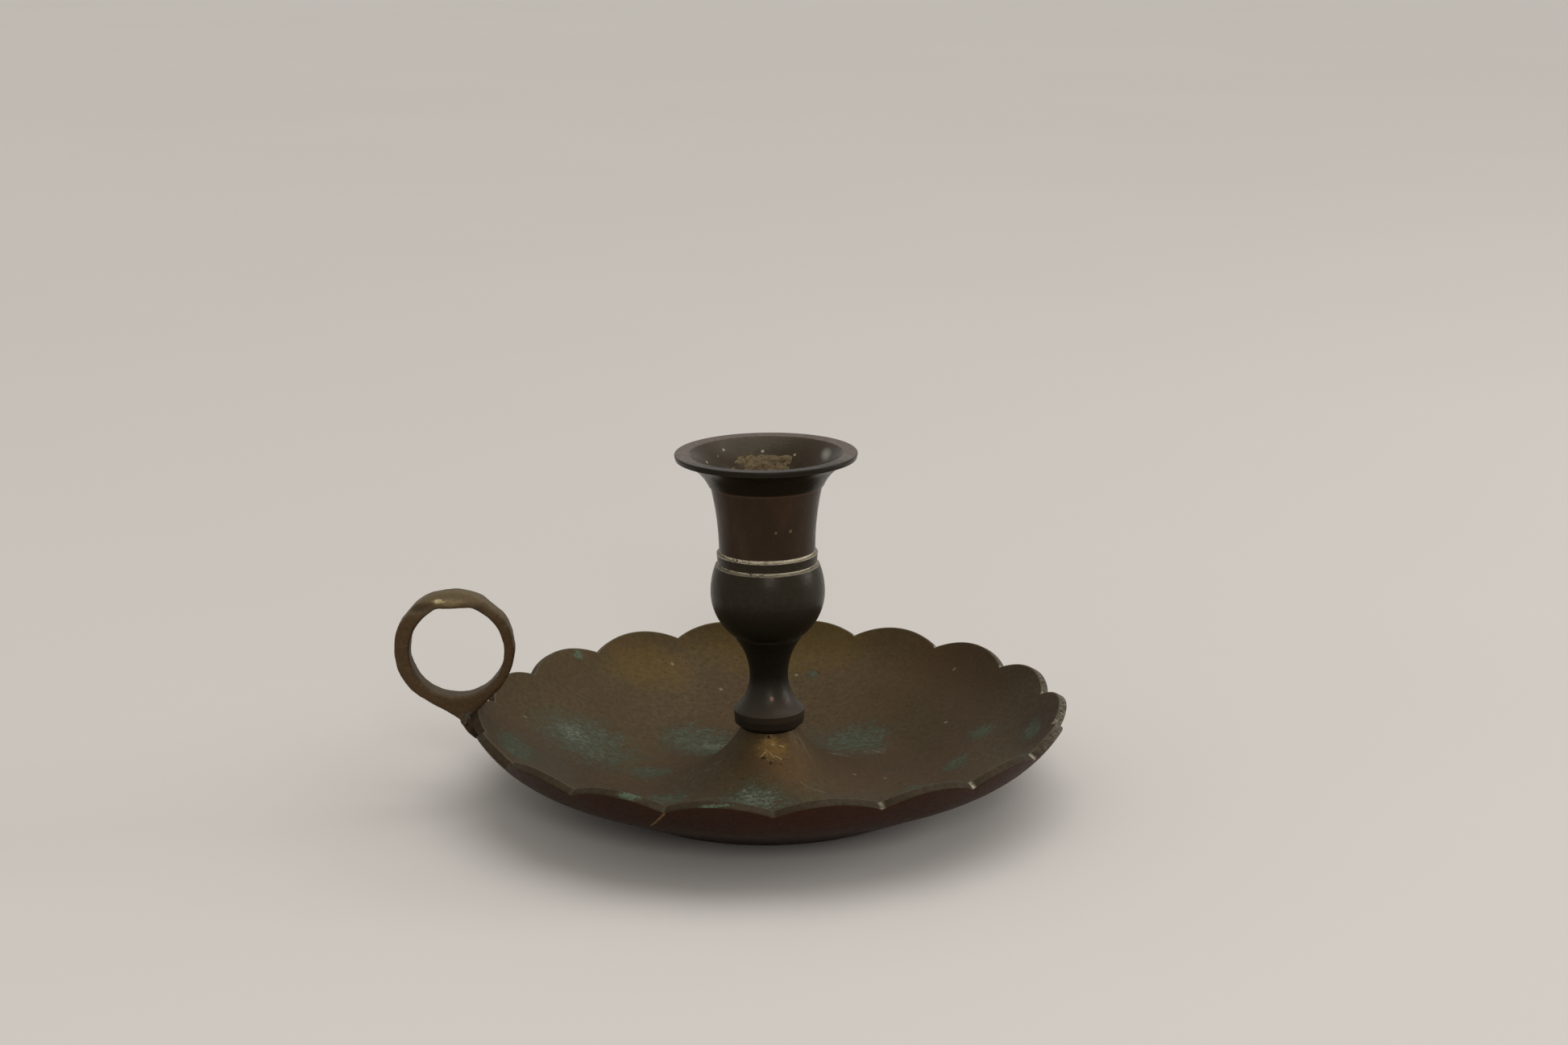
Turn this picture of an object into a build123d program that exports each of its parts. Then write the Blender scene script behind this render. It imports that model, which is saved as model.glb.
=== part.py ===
from build123d import *
from math import acos, asin, atan2, cos, degrees, hypot, radians, sin, sqrt, tan
import os

# Chamberstick in cast and turned brass: a scalloped drip pan, a turned stem and
# candle cup screwed through its boss, and a cast finger loop soldered to its wall.
# Millimetres. The origin is the centre of the flat base, +Z is up, and the loop
# stands towards -X.

# Drip pan
pan_radius = 73.0           # to the outer edge at the crown of a scallop
rim_height = 22.2           # of that edge above the table
base_radius = 37.4          # outer edge of the flat ring that the pan stands on
pan_wall = 2.2
wall_bend = 26.6            # radius of the bend in the wall, on its outside
rim_lean = 61.0             # degrees above the table at the rim
scallop_count = 18
scallop_radius = 20.6       # of one lobe, measured in the surface of the wall
rim_edge_round = 0.4
boss_height = 17.0
boss_top_radius = 6.9
boss_top_lean = 62.0        # degrees above the table at the top of the boss's side
boss_wall = 2.3
boss_crown = 3.2            # metal left above the hollow of the boss
hollow_foot_lean = 20.0     # degrees above the table where the hollow meets the base

# Threads, as plain cylinders at their outer diameter
pan_stud_radius = 3.0
cup_stud_radius = 4.0
cup_stud_length = 8.0
thread_gap = 0.05
hole_end_gap = 0.6          # room beyond the end of the stud in the cup

# Nut under the boss
nut_sides = 6
nut_flats = 9.5
nut_height = 4.0
nut_corner_cut = 0.5        # taken off each corner by the turned chamfer
stud_past_nut = 1.2

# Stem
seat_radius = 6.65          # of the foot where it bears on the boss
foot_radius = 8.7
foot_under_radius = 8.45
foot_chamfer_height = 1.4
foot_band_height = 3.2
foot_shoulder_in = 0.5
foot_shoulder_rise = 0.6
waist_radius = 4.7
waist_rise = 13.0           # above the seat
stem_length = 23.4          # from the seat to the joint with the cup
joint_radius = 8.6
joint_bevel = 0.25          # turned on both sides of the joint, so that it shows as a line

# Candle cup, with its heights above the joint
cup_height = 45.5
belly_radius = 13.9
belly_rise = 11.0
shoulder_radius = 12.6
shoulder_rise = 17.8
groove_radius = 11.3
groove_width = 0.5
collar_radius = 12.25
collar_foot_radius = 12.05
collar_width = 2.5
body_foot_radius = 11.65
body_top_radius = 13.55
body_top_rise = 37.6
neck_step = 0.4             # the small raised line under the flare
flare_lean = 66.0           # degrees above the table at the foot of the flare
lip_radius = 22.1
lip_thickness = 1.35
lip_round = 0.35
lip_under_in = 0.3          # the edge leans in below its top
mouth_ring_width = 3.5
mouth_ring_fall = 0.2
mouth_lean = 30.0           # degrees above the table inside the ring
bore_radius = 10.4          # takes a candle
bore_floor_rise = 12.1
bore_corner = 1.2

# Finger loop, in the plane of the loop
ring_radius = 14.6
ring_out = 3.3              # from the rim to the centre of the ring, away from the stick
ring_up = 16.0              # and above the rim
finger_hole_radius = 11.5
finger_hole_in = 0.6        # the hole is nearer to the stick than the ring's outline
finger_hole_down = 0.3
finger_hole_flat = 10.9     # from the hole's centre to the flat left along its top
finger_hole_corner = 3.0    # where the flat meets the round
loop_width = 5.4
loop_outer_round = 1.4
loop_inner_round = 0.9
neck_out = 1.4              # from the rim to the round end of the neck, away from the stick
neck_up = 0.15
neck_radius = 2.0
tab_thickness = 2.3
tab_width = 9.0
tab_length = 7.0            # down the wall from the rim
tab_edge_round = 0.6

# Solder between the loop and the pan
solder_film = 0.12
solder_skirt = 0.9          # how far it shows round the tab
solder_skirt_height = 0.8

# Room for cuts to run past what they cut, and the scallops that they span behind the loop
overrun = 5.0
spanned_scallops = 3

lobe_angle = 360 / scallop_count


def at(origin, distance, angle):
    """The point at a distance from origin in the half plane of a profile, at degrees above the outward direction."""
    return (origin[0] + distance * cos(radians(angle)), origin[1] + distance * sin(radians(angle)))


rim_crown = (pan_radius, rim_height)
wall_foot = (base_radius, 0)
bend_centre = at(rim_crown, wall_bend, rim_lean + 90)


def wall_point(lean, depth=0.0):
    """Point of the bent wall where it has this lean, at a depth below its outer surface."""
    return at(bend_centre, wall_bend - depth, lean - 90)


def straight_wall_lean():
    """Degrees above the table of the line from the base that is tangent to the wall's bend."""
    across, up = bend_centre[0] - wall_foot[0], bend_centre[1] - wall_foot[1]
    return degrees(atan2(up, across) - asin(wall_bend / hypot(across, up)))


wall_lean = straight_wall_lean()
wall_knee = wall_point(wall_lean)
inner_knee = wall_point(wall_lean, pan_wall)
boss_top = (boss_top_radius, boss_height)
joint_height = boss_height + stem_length
mouth_height = joint_height + cup_height
ring_centre = (pan_radius + ring_out, rim_height + ring_up)
neck_end = (pan_radius + neck_out, rim_height + neck_up)


def turned(face):
    """Turn a closed profile, drawn in the XZ plane at positive X, about the stick's axis."""
    return revolve(Plane.XZ * face, Axis.Z)


def dish_bend_radius():
    """Radius of the one bend that runs from the top of the boss into the straight inside of the wall."""
    lean = radians(wall_lean)
    above_wall = (boss_top[1] - inner_knee[1]) * cos(lean) - (boss_top[0] - inner_knee[0]) * sin(lean)
    return above_wall / (1 - sin(radians(90 - boss_top_lean) - lean))


dish_bend = dish_bend_radius()
dish_centre = at(boss_top, dish_bend, 90 - boss_top_lean)


def dish_point(lean, depth=0.0):
    """Point of the dish's bend where it rises outwards at this lean, at a depth below its surface."""
    return at(dish_centre, dish_bend + depth, lean - 90)


def hollow_outline():
    """Outline of the hollow under the boss: from the edge of its ceiling down its side to the base."""
    ceiling = boss_height - boss_crown
    ceiling_lean = degrees(acos((dish_centre[1] - ceiling) / (dish_bend + boss_wall)))
    middle = (ceiling_lean + hollow_foot_lean) / 2
    under = dish_point(-hollow_foot_lean, boss_wall)
    foot = (under[0] + under[1] / tan(radians(hollow_foot_lean)), 0)
    side = ThreePointArc(dish_point(-ceiling_lean, boss_wall), dish_point(-middle, boss_wall), under)
    return [side, Line(under, foot), Line(foot, wall_foot)]


def pan_centre():
    """Boss, floor and the straight part of the wall, turned in one."""
    hollow = hollow_outline()
    hole = pan_stud_radius + thread_gap
    ceiling = boss_height - boss_crown
    outline = [
        Line((hole, ceiling), hollow[0] @ 0),
        *hollow,
        Line(wall_foot, wall_knee),
        Line(wall_knee, inner_knee),
        Line(inner_knee, dish_point(wall_lean)),
        ThreePointArc(dish_point(wall_lean), dish_point(0), boss_top),
        Line(boss_top, (hole, boss_height)),
        Line((hole, boss_height), (hole, ceiling)),
    ]
    return turned(make_face(outline))


def scallop():
    """One lobe of the bent wall, cut by a cylinder that stands square to the wall at the lobe's crown."""
    past = rim_lean + degrees(overrun / wall_bend)
    middle = (wall_lean + past) / 2
    outline = [
        ThreePointArc(wall_knee, wall_point(middle), wall_point(past)),
        Line(wall_point(past), wall_point(past, pan_wall)),
        ThreePointArc(wall_point(past, pan_wall), wall_point(middle, pan_wall), inner_knee),
        Line(inner_knee, wall_knee),
    ]
    sector = revolve(Plane.XZ * make_face(outline), Axis.Z, lobe_angle)
    sector = Rot(0, 0, -lobe_angle / 2) * sector
    crown = wall_point(rim_lean)
    centre = at(crown, scallop_radius, rim_lean - 180)
    square = Plane(origin=(centre[0], 0, centre[1]), x_dir=(0, 1, 0),
                   z_dir=(sin(radians(rim_lean)), 0, -cos(radians(rim_lean))))
    cutter = square * Cylinder(scallop_radius, scallop_radius + overrun)
    lobe = sector & cutter
    end_face = lobe.faces().filter_by(GeomType.CYLINDER).sort_by(Axis.X)[-1]
    long_edges = end_face.edges().sort_by(SortBy.LENGTH)[-2:]
    return fillet(long_edges, rim_edge_round)


def make_drip_pan():
    """The cast pan: a turned centre with one scallop copied round it."""
    lobe = scallop()
    lobes = [Rot(0, 0, turn * lobe_angle) * lobe for turn in range(scallop_count)]
    return pan_centre() + lobes


def make_stem():
    """The turned stem: a foot flange, a waist, and a stud at each end."""
    seat = boss_height
    band_foot = seat + foot_chamfer_height
    band_top = band_foot + foot_band_height
    shoulder = (foot_radius - foot_shoulder_in, band_top + foot_shoulder_rise)
    waist = (waist_radius, seat + waist_rise)
    top = joint_height
    stud_foot = seat - boss_crown - nut_height - stud_past_nut
    stud_top = top + cup_stud_length
    bevel = joint_bevel
    outline = [
        Polyline((0, stud_foot), (pan_stud_radius, stud_foot), (pan_stud_radius, seat), (seat_radius, seat),
                 (foot_under_radius, band_foot), (foot_radius, band_top), shoulder),
        TangentArc(waist, shoulder, tangent=(0, -1)),
        TangentArc(waist, (joint_radius - bevel, top - bevel), tangent=(0, 1)),
        Polyline((joint_radius - bevel, top - bevel), (joint_radius - 2 * bevel, top), (cup_stud_radius, top),
                 (cup_stud_radius, stud_top), (0, stud_top)),
        Line((0, stud_top), (0, stud_foot)),
    ]
    return turned(make_face(outline))


def cup_outside():
    """Outline of the cup from the joint up its outside to the top of its lip."""
    base = joint_height
    belly = (belly_radius, base + belly_rise)
    shoulder = (shoulder_radius, base + shoulder_rise)
    collar_foot = shoulder[1] + groove_width
    collar_top = collar_foot + collar_width
    body_foot = (body_foot_radius, collar_top + groove_width)
    body_top = (body_top_radius, base + body_top_rise)
    neck = (body_top_radius + neck_step, body_top[1])
    lip_under = (lip_radius - lip_under_in, mouth_height - lip_thickness)
    along_flare = (cos(radians(flare_lean)), sin(radians(flare_lean)))
    return [
        Line((joint_radius - joint_bevel, base), (joint_radius, base + joint_bevel)),
        TangentArc(belly, (joint_radius, base + joint_bevel), tangent=(0, -1)),
        TangentArc(belly, shoulder, tangent=(0, 1)),
        Polyline(shoulder, (groove_radius, shoulder[1]), (groove_radius, collar_foot),
                 (collar_foot_radius, collar_foot), (collar_radius, collar_top), (groove_radius, collar_top),
                 (groove_radius, body_foot[1]), body_foot),
        TangentArc(body_foot, body_top, tangent=(0, 1)),
        Line(body_top, neck),
        TangentArc(neck, lip_under, tangent=along_flare),
        Line(lip_under, (lip_radius, mouth_height)),
    ]


def cup_inside():
    """Outline of the cup from the top of its lip down the mouth and the bore, and the hole for the stem's stud."""
    base = joint_height
    ring_edge = (lip_radius - mouth_ring_width, mouth_height - mouth_ring_fall)
    sweep = (ring_edge[0] - bore_radius) / (1 - sin(radians(mouth_lean)))
    bore_top = (bore_radius, ring_edge[1] - sweep * cos(radians(mouth_lean)))
    bore_floor = base + bore_floor_rise
    corner = bore_corner
    hole = cup_stud_radius + thread_gap
    hole_top = base + cup_stud_length + hole_end_gap
    return [
        Line((lip_radius, mouth_height), ring_edge),
        TangentArc(bore_top, ring_edge, tangent=(0, 1)),
        Line(bore_top, (bore_radius, bore_floor + corner)),
        TangentArc((bore_radius, bore_floor + corner), (bore_radius - corner, bore_floor), tangent=(0, -1)),
        Polyline((bore_radius - corner, bore_floor), (0, bore_floor), (0, hole_top), (hole, hole_top), (hole, base),
                 (joint_radius - joint_bevel, base)),
    ]


def make_candle_cup():
    """The turned cup: belly, collar between two grooves, flared mouth, and the bore for the candle."""
    cup = turned(make_face(cup_outside() + cup_inside()))
    lip_edges = cup.edges().filter_by(GeomType.CIRCLE).sort_by(SortBy.RADIUS)[-2:]
    return fillet(lip_edges, lip_round)


def make_stem_nut():
    """The hexagonal nut on the stem's lower stud, with its corners turned off."""
    top = boss_height - boss_crown
    corner = nut_flats / 2 / cos(radians(180 / nut_sides))
    blank = extrude(RegularPolygon(nut_flats / 2, nut_sides, major_radius=False), nut_height)
    turned_blank = chamfer(Cylinder(corner, nut_height, align=(Align.CENTER, Align.CENTER, Align.MIN)).edges(),
                           nut_corner_cut)
    hole = Cylinder(pan_stud_radius + thread_gap, nut_height + overrun)
    return Pos(0, 0, top - nut_height) * ((blank & turned_blank) - hole)


def behind(point, y=0.0):
    """A point of the wall's profile, as a place in the model on the loop's side."""
    return (-point[0], y, point[1])


def wall_band(end, near, far):
    """A sector of shell that follows the wall behind the loop, from the base to a lean and between two depths."""
    middle = (wall_lean + end) / 2
    foot_near = at(wall_foot, near, wall_lean + 90)
    foot_far = at(wall_foot, far, wall_lean + 90)
    outline = [
        Line(foot_near, wall_point(wall_lean, near)),
        ThreePointArc(wall_point(wall_lean, near), wall_point(middle, near), wall_point(end, near)),
        Line(wall_point(end, near), wall_point(end, far)),
        ThreePointArc(wall_point(end, far), wall_point(middle, far), wall_point(wall_lean, far)),
        Line(wall_point(wall_lean, far), foot_far),
        Line(foot_far, foot_near),
    ]
    sector = spanned_scallops * lobe_angle
    return Rot(0, 0, 180 - sector / 2) * revolve(Plane.XZ * make_face(outline), Axis.Z, sector)


def tab_plane():
    """Plane against the outside of the wall at the middle of the tab's straight part, facing away from the pan."""
    lean = rim_lean - degrees(tab_length / 2 / wall_bend)
    away = (-sin(radians(lean)), 0, -cos(radians(lean)))
    return Plane(origin=behind(wall_point(lean)), x_dir=(0, -1, 0), z_dir=away)


def tab_block(film, thickness, grow=0.0):
    """The wall band cut to the outline of the tab: straight sides down from the rim, and a round end."""
    radius = tab_width / 2
    round_end = Pos(0, radius - tab_length / 2) * Circle(radius + grow)
    sides = Pos(0, radius) * Rectangle(2 * (radius + grow), tab_length)
    outline = extrude(tab_plane() * (round_end + sides), thickness + overrun, both=True)
    return wall_band(rim_lean, -film, -film - thickness) & outline


def outer_edges(faces):
    """The edges round a group of faces, without those between two of them."""
    edges = [edge for face in faces for edge in face.edges()]
    return [edge for edge in edges if sum(edge.is_same(other) for other in edges) == 1]


def pan_edge_room():
    """What the loop is cut away from: the wall near the loop, with a film of solder all round it."""
    end = rim_lean + degrees(solder_film / wall_bend)
    return wall_band(end, pan_wall + solder_film, -solder_film)


def loop_ring():
    """The ring and its neck, with the finger hole and all their edges rounded."""
    ring = Pos(-ring_centre[0], ring_centre[1]) * Circle(ring_radius)
    neck = Pos(-neck_end[0], neck_end[1]) * Circle(neck_radius)
    outline = make_hull(ring.edges() + neck.edges())
    plate = extrude(Plane.XZ * outline, loop_width / 2, both=True)
    plate = fillet(plate.edges().filter_by(Plane.XZ), loop_outer_round)
    flat_height = 2 * finger_hole_radius
    flat = Pos(0, finger_hole_flat + flat_height / 2) * Rectangle(2 * flat_height, flat_height)
    hole_centre = (finger_hole_in - ring_centre[0], ring_centre[1] - finger_hole_down)
    hole = Pos(*hole_centre) * (Circle(finger_hole_radius) - flat)
    hole = fillet(hole.vertices(), finger_hole_corner)
    plate -= extrude(Plane.XZ * hole, loop_width, both=True)
    reach = finger_hole_radius + loop_inner_round
    centre = Vector(*behind(ring_centre))
    hole_edges = [edge for edge in plate.edges().filter_by(Plane.XZ)
                  if (edge @ 0 - centre).length < hypot(reach, loop_width / 2)]
    return fillet(hole_edges, loop_inner_round)


def make_finger_loop():
    """The cast loop: the ring, its neck, and the tab that is soldered to the wall."""
    tab = tab_block(solder_film, tab_thickness)
    away = tab_plane().z_dir
    tab_back = [face for face in tab.faces() if face.normal_at().dot(away) > 0.5]
    tab = fillet(outer_edges(tab_back), tab_edge_round)
    return (loop_ring() + tab) - pan_edge_room()


def make_loop_solder(loop):
    """The solder: a film under the tab, with a skirt of the same metal that shows round it."""
    return tab_block(0.0, solder_skirt_height, solder_skirt) - loop


def write(name, shape):
    """Keep one piece as its own file."""
    export_step(shape, f"parts/{name}.step")


os.makedirs("parts", exist_ok=True)
drip_pan = make_drip_pan()
finger_loop = make_finger_loop()
write("drip_pan", drip_pan)
write("stem", make_stem())
write("candle_cup", make_candle_cup())
write("stem_nut", make_stem_nut())
write("finger_loop", finger_loop)
write("loop_solder", make_loop_solder(finger_loop))
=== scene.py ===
from math import cos, pi, radians, sin
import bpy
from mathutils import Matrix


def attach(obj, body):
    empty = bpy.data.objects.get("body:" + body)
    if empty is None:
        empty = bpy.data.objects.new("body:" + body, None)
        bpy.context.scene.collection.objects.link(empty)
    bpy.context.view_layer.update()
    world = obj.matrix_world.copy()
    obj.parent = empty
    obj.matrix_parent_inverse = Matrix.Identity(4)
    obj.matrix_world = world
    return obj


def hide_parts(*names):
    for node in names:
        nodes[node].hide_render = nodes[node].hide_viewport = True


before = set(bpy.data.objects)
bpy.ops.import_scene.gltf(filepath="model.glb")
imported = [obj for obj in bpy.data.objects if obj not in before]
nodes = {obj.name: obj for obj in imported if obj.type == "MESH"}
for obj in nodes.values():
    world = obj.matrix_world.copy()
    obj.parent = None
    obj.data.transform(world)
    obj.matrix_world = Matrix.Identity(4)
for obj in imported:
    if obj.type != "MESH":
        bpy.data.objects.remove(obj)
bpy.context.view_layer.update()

from types import SimpleNamespace

import bpy
from mathutils import Matrix, Vector

# A patinated brass chamberstick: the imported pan, stem, cup and nut with their finishes, and the
# cast loop, its solder and the wax left in the mouth as pieces of their own.

mm = 0.001
sharp_angle = radians(50)

# Places and sizes that the finishes and the new pieces share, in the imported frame
scallops = 18
lobe_centre = Vector((63.01, 0, 4.18)) * mm  # on the axis of one lobe's edge
lobe_axis = Vector((0.8746, 0, -0.4848))
lobe_radius = 20.6 * mm
bend_centre = Vector((-49.73, 0, 35.10)) * mm  # of the wall's bend, behind the loop
bend_radius = 26.6 * mm
rim_lean = radians(61)
tab_lean = radians(53.46)  # of the wall behind the middle of the tab's straight part
ring_centre = Vector((-76.3, 0, 38.2)) * mm
neck_centre = Vector((-74.4, 0, 22.35)) * mm
finger_centre = Vector((-75.7, 0, 37.9)) * mm
loop_width = 5.4 * mm
ring_radius = 14.6 * mm
neck_radius = 2.1 * mm
finger_radius = 11.5 * mm
tab_width = 9.0 * mm
tab_length = 7.0 * mm
joint_height = 40.4 * mm  # of the line between the stem and the cup
mouth_bend_centre = (26.8 * mm, 71.5 * mm)  # of the inside of the mouth, out from the axis and up
mouth_bend_radius = 16.4 * mm
lower_groove = (58.2 * mm, 58.7 * mm)
upper_groove = (61.2 * mm, 61.7 * mm)
flare_foot = 78.0 * mm


# Camera

def set_camera():
    """The photograph's view, with the stick turned a touch anticlockwise in it."""
    place = Vector((-5.25, -639.9, 230.8)) * mm
    target = Vector((4.13, -0.1, 68.4)) * mm
    roll = radians(-0.65)
    lens = bpy.data.cameras.new("camera")
    lens.lens = 62.88
    lens.sensor_width = 36
    lens.clip_end = 50
    camera = bpy.data.objects.new("camera", lens)
    bpy.context.scene.collection.objects.link(camera)
    look = (target - place).to_track_quat("-Z", "Y").to_matrix().to_4x4()
    camera.matrix_world = Matrix.Translation(place) @ look @ Matrix.Rotation(roll, 4, "Z")
    bpy.context.scene.camera = camera


# Wiring of finishes

def paint(red, green, blue):
    """A colour as a screen shows it, 0 to 255, turned into light."""
    return tuple(((v / 255 + 0.055) / 1.055) ** 2.4 if v > 10 else v / 255 / 12.92
                 for v in (red, green, blue)) + (1,)


def feed(tree, socket, value):
    """Link an output to a socket, or set the socket."""
    if isinstance(value, bpy.types.NodeSocket):
        tree.links.new(value, socket)
    else:
        socket.default_value = value


def add(tree, kind, inputs=None, **settings):
    """Add a node with its settings, and feed its inputs."""
    node = tree.nodes.new(kind)
    for name, value in settings.items():
        setattr(node, name, value)
    for key, value in (inputs or {}).items():
        feed(tree, node.inputs[key], value)
    return node


def calc(tree, operation, *values, clamp=False):
    """A sum on numbers."""
    inputs = dict(enumerate(values))
    return add(tree, "ShaderNodeMath", inputs, operation=operation, use_clamp=clamp).outputs[0]


def chain(tree, operation, values):
    """The same sum over all the values, from the first to the last."""
    result = values[0]
    for value in values[1:]:
        result = calc(tree, operation, result, value)
    return result


def times(tree, *values):
    """All the values multiplied."""
    return chain(tree, "MULTIPLY", values)


def total(tree, *values):
    """All the values added up."""
    return chain(tree, "ADD", values)


def strongest(tree, *values):
    """The largest of the values."""
    return chain(tree, "MAXIMUM", values)


def without(tree, mask):
    """Where the mask is not."""
    return calc(tree, "SUBTRACT", 1.0, mask)


def vector(tree, operation, *values, output="Vector"):
    """A sum on vectors."""
    return add(tree, "ShaderNodeVectorMath", dict(enumerate(values)), operation=operation).outputs[output]


def stretch(tree, point, shares):
    """A point with each of its parts multiplied."""
    return vector(tree, "MULTIPLY", point, shares)


def length_of(tree, value):
    """How long a vector is."""
    return vector(tree, "LENGTH", value, output="Value")


def dot(tree, first, second):
    """The dot product of two vectors."""
    return vector(tree, "DOT_PRODUCT", first, second, output="Value")


def split(tree, value):
    """The three parts of a vector."""
    return add(tree, "ShaderNodeSeparateXYZ", {0: value}).outputs


def step(tree, value, start, end):
    """Rise softly from 0 to 1 as the value goes from start to end."""
    inputs = {"Value": value, "From Min": start, "From Max": end}
    node = add(tree, "ShaderNodeMapRange", inputs, interpolation_type="SMOOTHSTEP")
    return node.outputs["Result"]


def spread(tree, value, low, high):
    """Turn 0 to 1 into low to high."""
    return add(tree, "ShaderNodeMapRange", {"Value": value, "To Min": low, "To Max": high}).outputs["Result"]


def band(tree, height, low, high, soft):
    """1 between two heights."""
    rise = step(tree, height, low - soft, low + soft)
    fall = step(tree, height, high - soft, high + soft)
    return calc(tree, "SUBTRACT", rise, fall)


def mix(tree, share, first, second):
    """A colour between two."""
    node = add(tree, "ShaderNodeMix", data_type="RGBA")
    for key, value in ((0, share), (6, first), (7, second)):
        feed(tree, node.inputs[key], value)
    return node.outputs[2]


def noise(tree, point, size, detail=3.0, rough=0.55, bend=0.0):
    """Cloudy noise whose spots are about this large."""
    inputs = {"Vector": point, "Scale": 1 / size, "Detail": detail, "Roughness": rough, "Distortion": bend}
    return add(tree, "ShaderNodeTexNoise", inputs).outputs["Fac"]


def use(tree, group, **inputs):
    """Place a shared effect."""
    node = add(tree, "ShaderNodeGroup", node_tree=group)
    for name, value in inputs.items():
        feed(tree, node.inputs[name.replace("_", " ")], value)
    return node.outputs


def new_effect(name, inputs, outputs):
    """An empty shared effect with named sockets: its tree, its inputs and its end."""
    tree = bpy.data.node_groups.new(name, "ShaderNodeTree")
    for label, kind, start in inputs:
        socket = tree.interface.new_socket(label, in_out="INPUT", socket_type="NodeSocket" + kind)
        if start is not None:
            socket.default_value = start
    for label, kind in outputs:
        tree.interface.new_socket(label, in_out="OUTPUT", socket_type="NodeSocket" + kind)
    return tree, tree.nodes.new("NodeGroupInput").outputs, tree.nodes.new("NodeGroupOutput").inputs


# Shared effects

def make_mottle():
    """Uneven patina: broad clouds, fine grain and small pits."""
    tree, given, end = new_effect("Mottled patina", [("Point", "Vector", None), ("Size", "Float", 1.0)],
                                  [("Broad", "Float"), ("Fine", "Float"), ("Pits", "Float")])
    size = add(tree, "ShaderNodeCombineXYZ", {axis: given["Size"] for axis in range(3)}).outputs[0]
    scaled = vector(tree, "DIVIDE", given["Point"], size)
    broad = noise(tree, scaled, 14 * mm, 5, 0.6, 0.3)
    fine = noise(tree, scaled, 1.3 * mm, 4, 0.65)
    pits = noise(tree, scaled, 0.75 * mm, 2, 0.5)
    feed(tree, end["Broad"], step(tree, broad, 0.3, 0.7))
    feed(tree, end["Fine"], step(tree, fine, 0.25, 0.75))
    feed(tree, end["Pits"], step(tree, pits, 0.66, 0.74))
    return tree


def make_soft_spot():
    """A soft spot at a place, 1 in its middle."""
    tree, given, end = new_effect(
        "Soft spot", [("Point", "Vector", None), ("Centre", "Vector", None), ("Reach", "Vector", (1, 1, 1))],
        [("Mask", "Float")])
    away = vector(tree, "DIVIDE", vector(tree, "SUBTRACT", given["Point"], given["Centre"]), given["Reach"])
    feed(tree, end["Mask"], without(tree, step(tree, length_of(tree, away), 0.1, 1.25)))
    return tree


def make_ragged_crust():
    """Break a soft mask up into crusts and grains."""
    tree, given, end = new_effect(
        "Ragged crust", [("Point", "Vector", None), ("Soft", "Float", 0.0), ("Grain", "Float", 2 * mm),
                         ("Broken", "Float", 0.8)], [("Mask", "Float")])
    scale = calc(tree, "DIVIDE", 1.0, given["Grain"])
    coarse = add(tree, "ShaderNodeTexNoise", {"Vector": given["Point"], "Scale": scale, "Detail": 6,
                                              "Roughness": 0.75}).outputs["Fac"]
    fine = noise(tree, stretch(tree, given["Point"], (0.45, 1, 1)), 0.45 * mm, 2, 0.6)
    both = total(tree, times(tree, coarse, 0.6), times(tree, fine, 0.4))
    shift = times(tree, calc(tree, "SUBTRACT", both, 0.5), times(tree, given["Broken"], 4.0))
    present = step(tree, given["Soft"], 0.02, 0.3)
    left = step(tree, total(tree, given["Soft"], shift), 0.3, 1.0)
    feed(tree, end["Mask"], times(tree, left, present))
    return tree


def make_scratch():
    """One scratch between two places, seen along the direction that Flat sets to 0."""
    tree, given, end = new_effect(
        "Single scratch", [("Point", "Vector", None), ("From", "Vector", None), ("To", "Vector", None),
                           ("Flat", "Vector", (1, 1, 0)), ("Width", "Float", 0.3 * mm)], [("Mask", "Float")])
    point, start, stop = [stretch(tree, given[name], given["Flat"]) for name in ("Point", "From", "To")]
    along = vector(tree, "SUBTRACT", stop, start)
    from_start = vector(tree, "SUBTRACT", point, start)
    share = calc(tree, "DIVIDE", dot(tree, from_start, along), dot(tree, along, along), clamp=True)
    nearest = add(tree, "ShaderNodeVectorMath", {0: along, "Scale": share}, operation="SCALE").outputs[0]
    gap = length_of(tree, vector(tree, "SUBTRACT", from_start, nearest))
    wander = times(tree, calc(tree, "SUBTRACT", noise(tree, given["Point"], 1.5 * mm), 0.5), 0.5 * mm)
    off = calc(tree, "ABSOLUTE", total(tree, gap, wander))
    feed(tree, end["Mask"], without(tree, step(tree, off, 0.0, given["Width"])))
    return tree


def make_hair_scratches():
    """Many hair scratches, all one way."""
    tree, given, end = new_effect(
        "Hair scratches", [("Point", "Vector", None), ("Turn", "Vector", (0, 0, 0)), ("Share", "Float", 0.1)],
        [("Mask", "Float")])
    turned = add(tree, "ShaderNodeMapping", {"Vector": given["Point"], "Rotation": given["Turn"],
                                             "Scale": (0.06, 1, 1)}).outputs[0]
    streaks = add(tree, "ShaderNodeTexNoise", {"Vector": turned, "Scale": 1 / (0.5 * mm), "Detail": 1,
                                               "Distortion": 0.3}).outputs["Fac"]
    clusters = noise(tree, given["Point"], 6 * mm, 2)
    where = step(tree, clusters, calc(tree, "SUBTRACT", 0.75, given["Share"]), 0.8)
    feed(tree, end["Mask"], times(tree, step(tree, streaks, 0.70, 0.76), where))
    return tree


def make_worn_edge():
    """Edges that stand out, found from the normal of a slightly rounded copy."""
    tree, given, end = new_effect("Worn edge", [("Width", "Float", 0.4 * mm)], [("Mask", "Float")])
    rounded = add(tree, "ShaderNodeBevel", {"Radius": given["Width"]}, samples=4).outputs[0]
    plain = add(tree, "ShaderNodeNewGeometry").outputs["Normal"]
    feed(tree, end["Mask"], without(tree, step(tree, dot(tree, rounded, plain), 0.75, 0.995)))
    return tree


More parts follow.
